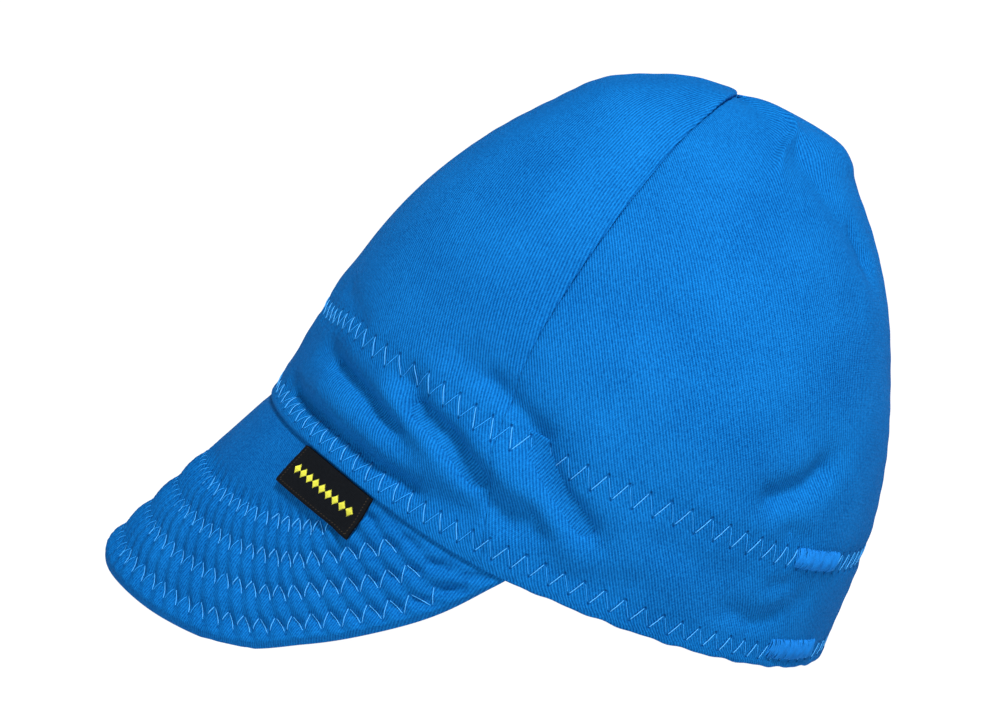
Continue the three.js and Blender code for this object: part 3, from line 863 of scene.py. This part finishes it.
def ribbonMaterial():
    nodes = Nodes("ribbon")
    across, along = nodes.map("cloth")
    fuzz = nodes.noise(1500.0)
    weave = (along / ribbon["weft"]).wave() * (across / ribbon["warp"]).wave()
    colour = nodes.mix(weave * 0.6 + fuzz * 0.4, ribbon["dark"], ribbon["light"])
    fromSide = tab["length"] / 2 - tab["border"] - abs(across)
    fromFold = tab["drop"] - tab["border"] - along
    sewn = None
    for gap, other in ((fromSide, fromFold), (fromFold, fromSide)):
        past = (-other / ribbon["lineFade"]).atLeast(0.0)
        line = (1 - abs(gap) / ribbon["lineWidth"] - past).atLeast(0.0)
        sewn = line if sewn is None else sewn.atLeast(line)
    dashes = (across + along) * (2 * math.pi / ribbon["dash"])
    sewn = sewn * dashes.cosine().atLeast(0.0)
    colour = nodes.mix(sewn.atMost(1.0), colour, ribbon["sewing"])
    fixed = {"Specular IOR Level": 0.08}
    return nodes.finish(colour, 0.85 - fuzz * 0.15, weave + fuzz * 0.3 - sewn, ribbon["relief"], fixed)


def perpendicularTo(stitches):
    # turns a height as a share of half the row's height into a distance from a slanting stitch
    half, run = stitches.half, stitches.row["usualPitch"] / 2
    return half * run / math.hypot(run, 2 * half)


crownRows = (("upperRow", perpendicularTo(upperStitches)), ("lowerRow", perpendicularTo(lowerStitches)))
quiltRows = (("quilt", peak["stitchPitch"] / 2),)
crownTwill = twillMaterial("twill_crown", panels["twillLean"], crownRows)
peakTwill = twillMaterial("twill_peak", peak["twillLean"], quiltRows, byQuiltRow, quiltLook)
blueThread = threadMaterial("thread_blue", (0.02, 0.32, 0.85, 1), (0.1, 0.5, 1.0, 1), 0.1, 0.1)
# the same blue thread made darker: painted shade for the strokes that lie down in the cloth
shadedThread = threadMaterial("thread_shaded", (0.008, 0.23, 0.68, 1), (0.04, 0.38, 0.95, 1), 0.05, 0.0)
tackThread = threadMaterial("thread_tack", (0.0015, 0.105, 0.4, 1), (0.012, 0.235, 0.7, 1), 0.06, 0.0)
yellowThread = threadMaterial("thread_yellow", (0.62, 0.6, 0.02, 1), (0.88, 0.88, 0.1, 1), 0.2, 0.1)
ribbonBlack = ribbonMaterial()

# Kinds of stroke, with how far each rises over its cloth. The bridging ones cross the peak's dips. The sunk
# ones are drawn with the darker copy of the blue thread, which is painted shade.
strands = {
    "proud": {"material": blueThread, "rise": 0.14 * mm, "radius": 0.155 * mm},
    "bridging": {"material": blueThread, "rise": 0.28 * mm, "radius": 0.155 * mm},
    "sunk": {"material": shadedThread, "rise": 0.07 * mm, "radius": 0.14 * mm},
    "satin": {"material": tackThread, "rise": 0.1 * mm, "radius": 0.24 * mm},
    "yellow": {"material": yellowThread, "rise": 0.12 * mm, "radius": 0.15 * mm},
}
print("materials ready")


def panelShare(column, width):
    # how far across its panel a column lies, closer together beside the seams
    columns = panels["columns"]
    steps = np.array(panels["edgeSteps"]) * mm
    last = len(steps) - 1
    squeeze = np.minimum(1, width / (5 * steps[-1]))
    fromStart = np.minimum(column, columns - column)
    near = np.interp(fromStart, np.arange(last + 1), steps) * squeeze / width
    edge = steps[-1] * squeeze / width
    inner = edge + (1 - 2 * edge) * (column - last) / (columns - 2 * last)
    mirrored = np.where(column < columns / 2, near, 1 - near)
    return np.where(fromStart <= last, mirrored, inner)


def makePanel(quarter):
    start, end = quarter["sides"]
    columns = panels["columns"]
    rows = int(round(clothLength / panels["square"]))
    hem = panels["hemSteps"]
    mesh, shareAcross, shareAlong = gridMesh("cloth_" + quarter["name"], columns, rows + hem)
    column = np.round(shareAcross * columns)
    line = np.round(shareAlong * (rows + hem)) - hem
    place = np.maximum(line, 0) / rows * panels["apex"]
    low, high = seamLine(start, place), seamLine(end, place)
    width = (high - low) * roundness(place)
    share = panelShare(column, width)
    angle = low + (high - low) * share
    free = smooth(np.abs(np.degrees(angle)), peak["endAngle"], peak["endAngle"] + panels["hemEase"])
    curl = np.clip(-line / hem, 0, 1) * math.radians(90) * (1 + free)
    radius = panels["hemRadius"]
    points = crownPoint(angle, place, crownRelief(angle, place) - radius * (1 - np.cos(curl)))
    points[:, 2] -= np.where(line < 0, radius * np.sin(curl), 0)
    points[:, 2] += radius * (1 - smooth(place, 0, panels["rimEase"]))
    wave = np.sin(angle * 41) * 0.6 + np.sin(angle * 67 + 1.3) * 0.4
    points[:, 2] += panels["scallop"] * (wave + 0.6) * free * (1 - smooth(place, 0, panels["scallopFade"]))
    setPoints(mesh, atRest(points))
    setMap(mesh, "cloth", (share - 0.5) * width, place * clothLength + np.minimum(line, 0) * 0.3 * mm)
    setMap(mesh, "upperRow", *upperStitches.local(angle, place))
    setMap(mesh, "lowerRow", *lowerStitches.local(angle, place))
    piece = addPiece(mesh.name, mesh, crownTwill, "twill", "crown_" + quarter["name"])
    addWall(piece, panels["wall"])


for quarter in quarters:
    makePanel(quarter)


band = {
    "height": 47 * mm,
    "lift": 0.8 * mm,
    "square": 1.6 * mm,
    "wall": 1.0 * mm,
    "flangeRoom": 1.9 * mm,     # between crown and band, where the peak's flange is
    "roomAngles": (2, 14),      # it closes between these, in degrees past the peak's end
    "roomHeights": (9 * mm, 20 * mm),
    "pull": 0.6,                # the share of the sewing's dips that it follows
    "twillLean": -20,
}
bandTwill = twillMaterial("twill_band", band["twillLean"])


def bandDepth(angle, height):
    beside = 1 - smooth(np.abs(np.degrees(angle)) - peak["endAngle"], *band["roomAngles"])
    below = 1 - smooth(height, *band["roomHeights"])
    return layerDepth + band["flangeRoom"] * beside * below


def onBand(angle, height, lift):
    # a point on the band's inner face, with lift towards the wearer
    place = placeAtHeight(height)
    depth = bandDepth(angle, height) + band["wall"] + lift
    return atRest(crownPoint(angle, place, -depth))


def makeBand():
    columns = int(2 * math.pi * meanRadius / band["square"])
    rows = int(band["height"] / band["square"])
    mesh, shareAcross, shareAlong = gridMesh("cloth_band", columns, rows)
    angle = (shareAcross * 2 - 1) * math.pi
    height = band["lift"] + (band["height"] - band["lift"]) * shareAlong
    place = placeAtHeight(height)
    pull = upperStitches.relief(angle, place, "onBand") + lowerStitches.relief(angle, place, "onBand")
    setPoints(mesh, atRest(crownPoint(angle, place, pull * band["pull"] - bandDepth(angle, height))))
    setMap(mesh, "cloth", angle * meanRadius, height)
    mergeEnds(mesh, 0.01 * mm)
    piece = addPiece("cloth_band", mesh, bandTwill, "twill", "sweatband")
    addWall(piece, band["wall"])


makeBand()


def makePeak():
    end = math.radians(peak["endAngle"])
    columns = int(2 * end * meanRadius * peak["fullness"] / peak["square"])
    rows = int(2 * (peakReach(np.array(0.0)) + peak["flange"]) / peak["square"])
    mesh, shareAcross, shareAlong = gridMesh("cloth_peak", columns, rows)
    angle = (shareAcross * 2 - 1) * end
    reach = peakReach(angle)
    side = np.where(shareAlong < 0.5, -1, 1)
    inward = np.abs(shareAlong * 2 - 1) ** 1.06
    fromEdge = inward * (reach + peak["flange"])
    tuck = smooth(end - np.abs(angle), 0, 0.03) * smooth(1 - inward, 0, 0.01)
    shown = onPeak(angle, fromEdge, 0 * angle, side)
    middle = onPeak(angle, fromEdge, 0 * angle, 1) * 0.5 + onPeak(angle, fromEdge, 0 * angle, -1) * 0.5
    setPoints(mesh, middle + (shown - middle) * tuck[:, None])
    row = rowAway(fromEdge)
    stitchShare = np.interp(angle, peakAngles, stitchReach) / 2 / peak["rowPitch"]
    turn = angle * meanRadius / peak["cutRadius"]
    radius = peak["cutRadius"] + reach - fromEdge
    setMap(mesh, "cloth", radius * np.sin(turn), -radius * np.cos(turn))
    setMap(mesh, "quilt", stitchPhase(angle, row), row)
    setMap(mesh, "quiltReach", stitchShare, row)
    mergeEnds(mesh, 0.02 * mm)
    addPiece("cloth_peak", mesh, peakTwill, "twill", "peak")


makePeak()
print("cloth ready")


thread = {
    "sides": 6,
    "sink": 0.3 * mm,           # how far both ends of a stroke are in the cloth
    "taper": 0.35,
    "turnAngle": 80,            # every other stroke is sunk, and from here back it is the others
}


def threadTemplate(levels):
    # a rod along Z from 0 to 1, cut across at each level
    bm = bmesh.new()
    bmesh.ops.create_cone(bm, cap_ends=True, segments=thread["sides"], radius1=1, radius2=1, depth=1)
    bmesh.ops.translate(bm, verts=bm.verts, vec=(0, 0, 0.5))
    for level in levels[1:-1]:
        everything = [*bm.verts, *bm.edges, *bm.faces]
        bmesh.ops.bisect_plane(bm, geom=everything, plane_co=(0, 0, level), plane_no=(0, 0, 1))
    corners = np.array([corner.co for corner in bm.verts])
    faces = [[corner.index for corner in face.verts] for face in bm.faces]
    bm.free()
    return corners, faces


def sewnMesh(name, paths, normals, radius):
    # joins one rod for each path, with paths[stroke, level] a point
    strokes, levels = paths.shape[:2]
    corners, faces = threadTemplate(np.linspace(0, 1, levels))
    level = np.round(corners[:, 2] * (levels - 1)).astype(int)
    along = unit(np.gradient(paths, axis=1))
    sideways = unit(np.cross(along, normals))
    upward = np.cross(sideways, along)
    taper = radius * (1 - thread["taper"] * np.abs(np.linspace(-1, 1, levels)) ** 3)
    size = taper[level][None, :, None]
    points = paths[:, level] + size * corners[:, 0][None, :, None] * sideways[:, level]
    points = points + size * corners[:, 1][None, :, None] * upward[:, level]
    shift = np.repeat(np.arange(strokes) * len(corners), len(faces))
    joined = [[corner + start for corner in face] for start, face in zip(shift, faces * strokes)]
    mesh = bpy.data.meshes.new(name)
    mesh.from_pydata(points.reshape(-1, 3).tolist(), [], joined)
    mesh.update()
    length = np.linalg.norm(paths[:, -1] - paths[:, 0], axis=1) / (2 * radius)
    around = np.arctan2(corners[:, 1], corners[:, 0]) / (2 * math.pi)
    alongMap = (length[:, None] * corners[:, 2][None, :]).ravel()
    setMap(mesh, "thread", alongMap, np.tile(around, strokes))
    return mesh


def sew(name, starts, ends, surface, kind, slot="thread", levels=7):
    # strokes of thread from each start to its end over a surface, with both ends in the cloth
    strand = strands[kind]
    share = np.linspace(0, 1, levels)[None, :]
    first, second = (starts[:, None, k] + (ends - starts)[:, None, k] * share for k in (0, 1))
    arch = np.sin(math.pi * share) ** 0.5
    lift = -thread["sink"] + (strand["rise"] + thread["sink"]) * arch + 0 * first
    paths = surface(first, second, lift)
    normals = unit(surface(first, second, lift + 0.5 * mm) - paths)
    mesh = sewnMesh(name, paths, normals, strand["radius"])
    return addPiece(name, mesh, strand["material"], slot)


draw = np.random.default_rng(7)


def zigzag(stitches):
    # corners of a zigzag row round the crown, as angles and places
    count = np.arange(stitches.total + 1)
    loose = draw.normal(0, 0.03, (2, len(count)))
    angle = stitches.angleAt(count + loose[0])
    level = np.where(count % 2 == 0, 1, -1) * (1 + loose[1])
    place = stitches.placeAt(angle) + level * stitches.half / clothLength
    corners = np.stack([angle, place], axis=-1)
    return corners[:-1], corners[1:]


def isProud(starts, ends):
    # which strokes lie on top: those that run down and back over the front, and the others behind
    turn = (starts[:, 0] + ends[:, 0]) / 2
    downAndBack = (ends[:, 1] < starts[:, 1]) == (turn > 0)
    return downAndBack == (np.abs(turn) < math.radians(thread["turnAngle"]))


def sewCrown():
    for name, stitches in (("stitch_upper", upperStitches), ("stitch_lower", lowerStitches)):
        starts, ends = zigzag(stitches)
        proud = isProud(starts, ends)
        sew(name, starts[proud], ends[proud], onCrown, "proud")
        # the sunk strokes get the thread darkened with painted shade
        sew(name + "_sunk", starts[~proud], ends[~proud], onCrown, "sunk")
        heights = [np.stack([spot[:, 0], heightAt(spot[:, 1])], axis=-1) for spot in (starts, ends)]
        sew(name + "_inside", *heights, onBand, "proud")


def underPeak(angle, fromEdge, lift):
    return onPeak(angle, fromEdge, lift, -1)


def sewPeak():
    starts, ends = [], []
    for row in range(peak["rows"]):
        fromEdge = peak["firstRow"] + row * peak["rowPitch"]
        held = peakAngles[peakReach(peakAngles) > fromEdge + peak["rowEnd"]]
        phases = stitchPhase(peakAngles, row)
        first, last = stitchPhase(held[[0, -1]], row)
        number = np.arange(math.ceil(first), math.floor(last))
        loose = draw.normal(0, 0.04, (2, len(number)))
        middle = np.interp(number + loose[0], phases, peakAngles)
        level = np.where(number % 2 == 0, 1, -1) * (1 + loose[1])
        rise = level * np.interp(middle, peakAngles, stitchReach) / 2
        drift = np.interp(middle, peakAngles, stitchDrift) * rise
        angle = np.interp(np.interp(middle, peakAngles, peakCount) - drift, peakCount, peakAngles)
        corners = np.stack([angle, np.maximum(fromEdge + rise, peak["edgeGap"])], axis=-1)
        starts.append(corners[:-1])
        ends.append(corners[1:])
    starts, ends = np.concatenate(starts), np.concatenate(ends)
    turn = np.degrees(np.abs(starts[:, 0] + ends[:, 0]) / 2)
    falling = ends[:, 1] < starts[:, 1]
    hidden = np.where(falling, 0, np.interp(turn, peak["risingShown"], (0.5, 0)))
    shown = starts + (ends - starts) * hidden[:, None]
    proud = falling | (turn > peak["risingShown"][0])
    sew("stitch_peak", shown[proud], ends[proud], onPeak, "bridging")
    # the sunk strokes get the thread darkened with painted shade
    sew("stitch_peak_sunk", starts[~proud], ends[~proud], onPeak, "sunk")
    sew("stitch_peak_under", starts, ends, underPeak, "proud")


sewCrown()
sewPeak()
print("seams sewn")


# Bar tacks, with their angle from the front, height above the rim and length.
tacks = table("name angle height length", [
    ("upper", 149, 39 * mm, 22 * mm),
    ("lower", 154, 7 * mm, 26 * mm),
])
tackSizes = {
    "height": 7.4 * mm,
    "rise": 1.2 * mm,
    "threads": 70,
    "uneven": 0.05,             # of a thread's length
    "endTaper": 0.12,
    "lean": 0.3 * mm,
}


def makeTack(tack, side, name):
    # close threads over a padded bar
    middle = placeAtHeight(tack["height"])
    radius = roundness(middle)
    turn = side * math.radians(tack["angle"])
    count = tackSizes["threads"]
    run = np.linspace(-1, 1, count)
    loose = draw.normal(0, 1, (3, count))
    halfHeight = tackSizes["height"] / 2 * (1 + tackSizes["uneven"] * loose[0])
    halfHeight = halfHeight * (1 - tackSizes["endTaper"] * run ** 8)
    angle = turn + run * tack["length"] / 2 / radius
    lean = tackSizes["lean"] * loose[1] / radius
    bottom, top = (np.stack([angle + way * lean, placeAtHeight(tack["height"] + way * halfHeight)], axis=-1)
                   for way in (-1, 1))

    def overBar(around, place, lift):
        climb = (place - middle) * clothLength / (tackSizes["height"] / 2)
        way = (around - turn) * radius / (tack["length"] / 2)
        pad = np.sqrt(1 - np.clip(climb, -1, 1) ** 2) * np.sqrt(1 - np.clip(way, -1, 1) ** 6)
        return onCrown(around, place, lift + pad * tackSizes["rise"])

    piece = sew("satin_" + name, bottom, top, overBar, "satin", levels=9)
    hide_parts("bartack_" + name)


for tack in tacks:
    makeTack(tack, 1, tack["name"] + "_left")
    makeTack(tack, -1, tack["name"] + "_right")


def onTab(across, down, lift, side=1):
    # a point on the folded ribbon, across from its middle and down from the seam
    angle = math.radians(tab["angle"]) + across / meanRadius
    way = tab["start"] + down
    fromEdge = peakReach(angle) - way
    rounded = np.sqrt(np.clip((tab["drop"] - down) / tab["round"], 0, 1))
    seat = tab["seat"] + tab["layer"] + tab["bow"] * smooth(down, 0, tab["drop"])
    return onPeak(angle, fromEdge, seat + side * tab["layer"] * rounded + lift, 1, 0)


def makeTab():
    mesh, shareAcross, shareAlong = gridMesh("ribbon_tab", 60, 80)
    across = (shareAcross - 0.5) * tab["length"]
    side = np.where(shareAlong < 0.5, -1, 1)
    down = tab["drop"] * (1 - np.abs(shareAlong * 2 - 1))
    setPoints(mesh, onTab(across, down, 0 * down, side))
    setMap(mesh, "cloth", across, down)
    mesh.flip_normals()
    addPiece("ribbon_tab", mesh, ribbonBlack, "ribbon", "tab")


lozenges = {
    "count": 9,
    "threads": 9,
    "pitch": 2.95 * mm,
    "halfWidth": 1.15 * mm,
    "halfHeight": 2.3 * mm,
    "least": 0.25 * mm,         # half the length of the end threads
}


def sewTab():
    # a plain row of stitched lozenges along the middle
    starts, ends = [], []
    for k in range(lozenges["count"]):
        centre = (k - (lozenges["count"] - 1) / 2) * lozenges["pitch"]
        for offset in np.linspace(-1, 1, lozenges["threads"]):
            half = lozenges["halfHeight"] * (1 - abs(offset)) + lozenges["least"]
            spot = centre + offset * lozenges["halfWidth"]
            starts.append((spot, tab["drop"] / 2 - half))
            ends.append((spot, tab["drop"] / 2 + half))
    sew("lozenges", np.array(starts), np.array(ends), onTab, "yellow", "ribbon", 5)


makeTab()
sewTab()
print("details ready")


stage = {
    "radius": 6,
    "wall": 1.8,                # height of the wall round the floor
    "white": (1, 1, 1, 1),      # light of the floor and the background
    "grey": (0.05, 0.05, 0.05, 1),
    "world": 0.12,
    "aim": (0, 0, 0.08),
    "lights": table("name place size power", [
        ("key", (0.8, 0.44, 1.34), 0.3, 36),
        ("fill", (1.9, -0.3, 0.5), 1.0, 6),
    ]),
}


def makeStage():
    # a round floor with a low wall, which give off white light
    bm = bmesh.new()
    bmesh.ops.create_circle(bm, cap_ends=True, segments=96, radius=stage["radius"])
    rim = [edge for edge in bm.edges if edge.is_boundary]
    wall = bmesh.ops.extrude_edge_only(bm, edges=rim)["geom"]
    corners = [part for part in wall if isinstance(part, bmesh.types.BMVert)]
    bmesh.ops.translate(bm, verts=corners, vec=(0, 0, stage["wall"]))
    mesh = bpy.data.meshes.new("floor")
    bm.to_mesh(mesh)
    bm.free()
    nodes = Nodes("floor")
    nodes.fix({"Base Color": stage["grey"], "Roughness": 0.9})
    nodes.fix({"Emission Color": stage["white"], "Emission Strength": 1.0})
    mesh.materials.append(nodes.material)
    addObject("floor", mesh)


def addLight(name, place, size, power):
    data = bpy.data.lights.new(name, "AREA")
    data.size = size
    data.energy = power
    light = addObject(name, data)
    light.location = place
    aim = Vector(stage["aim"]) - Vector(place)
    light.rotation_euler = aim.to_track_quat("-Z", "Y").to_euler()


makeStage()
for light in stage["lights"]:
    addLight(**light)
world = bpy.data.worlds.new("studio")
world.use_nodes = True
background = world.node_tree.nodes["Background"]
background.inputs["Color"].default_value = stage["white"]
background.inputs["Strength"].default_value = stage["world"]
bpy.context.scene.world = world
bpy.context.scene.view_settings.view_transform = "Standard"
print("stage ready")
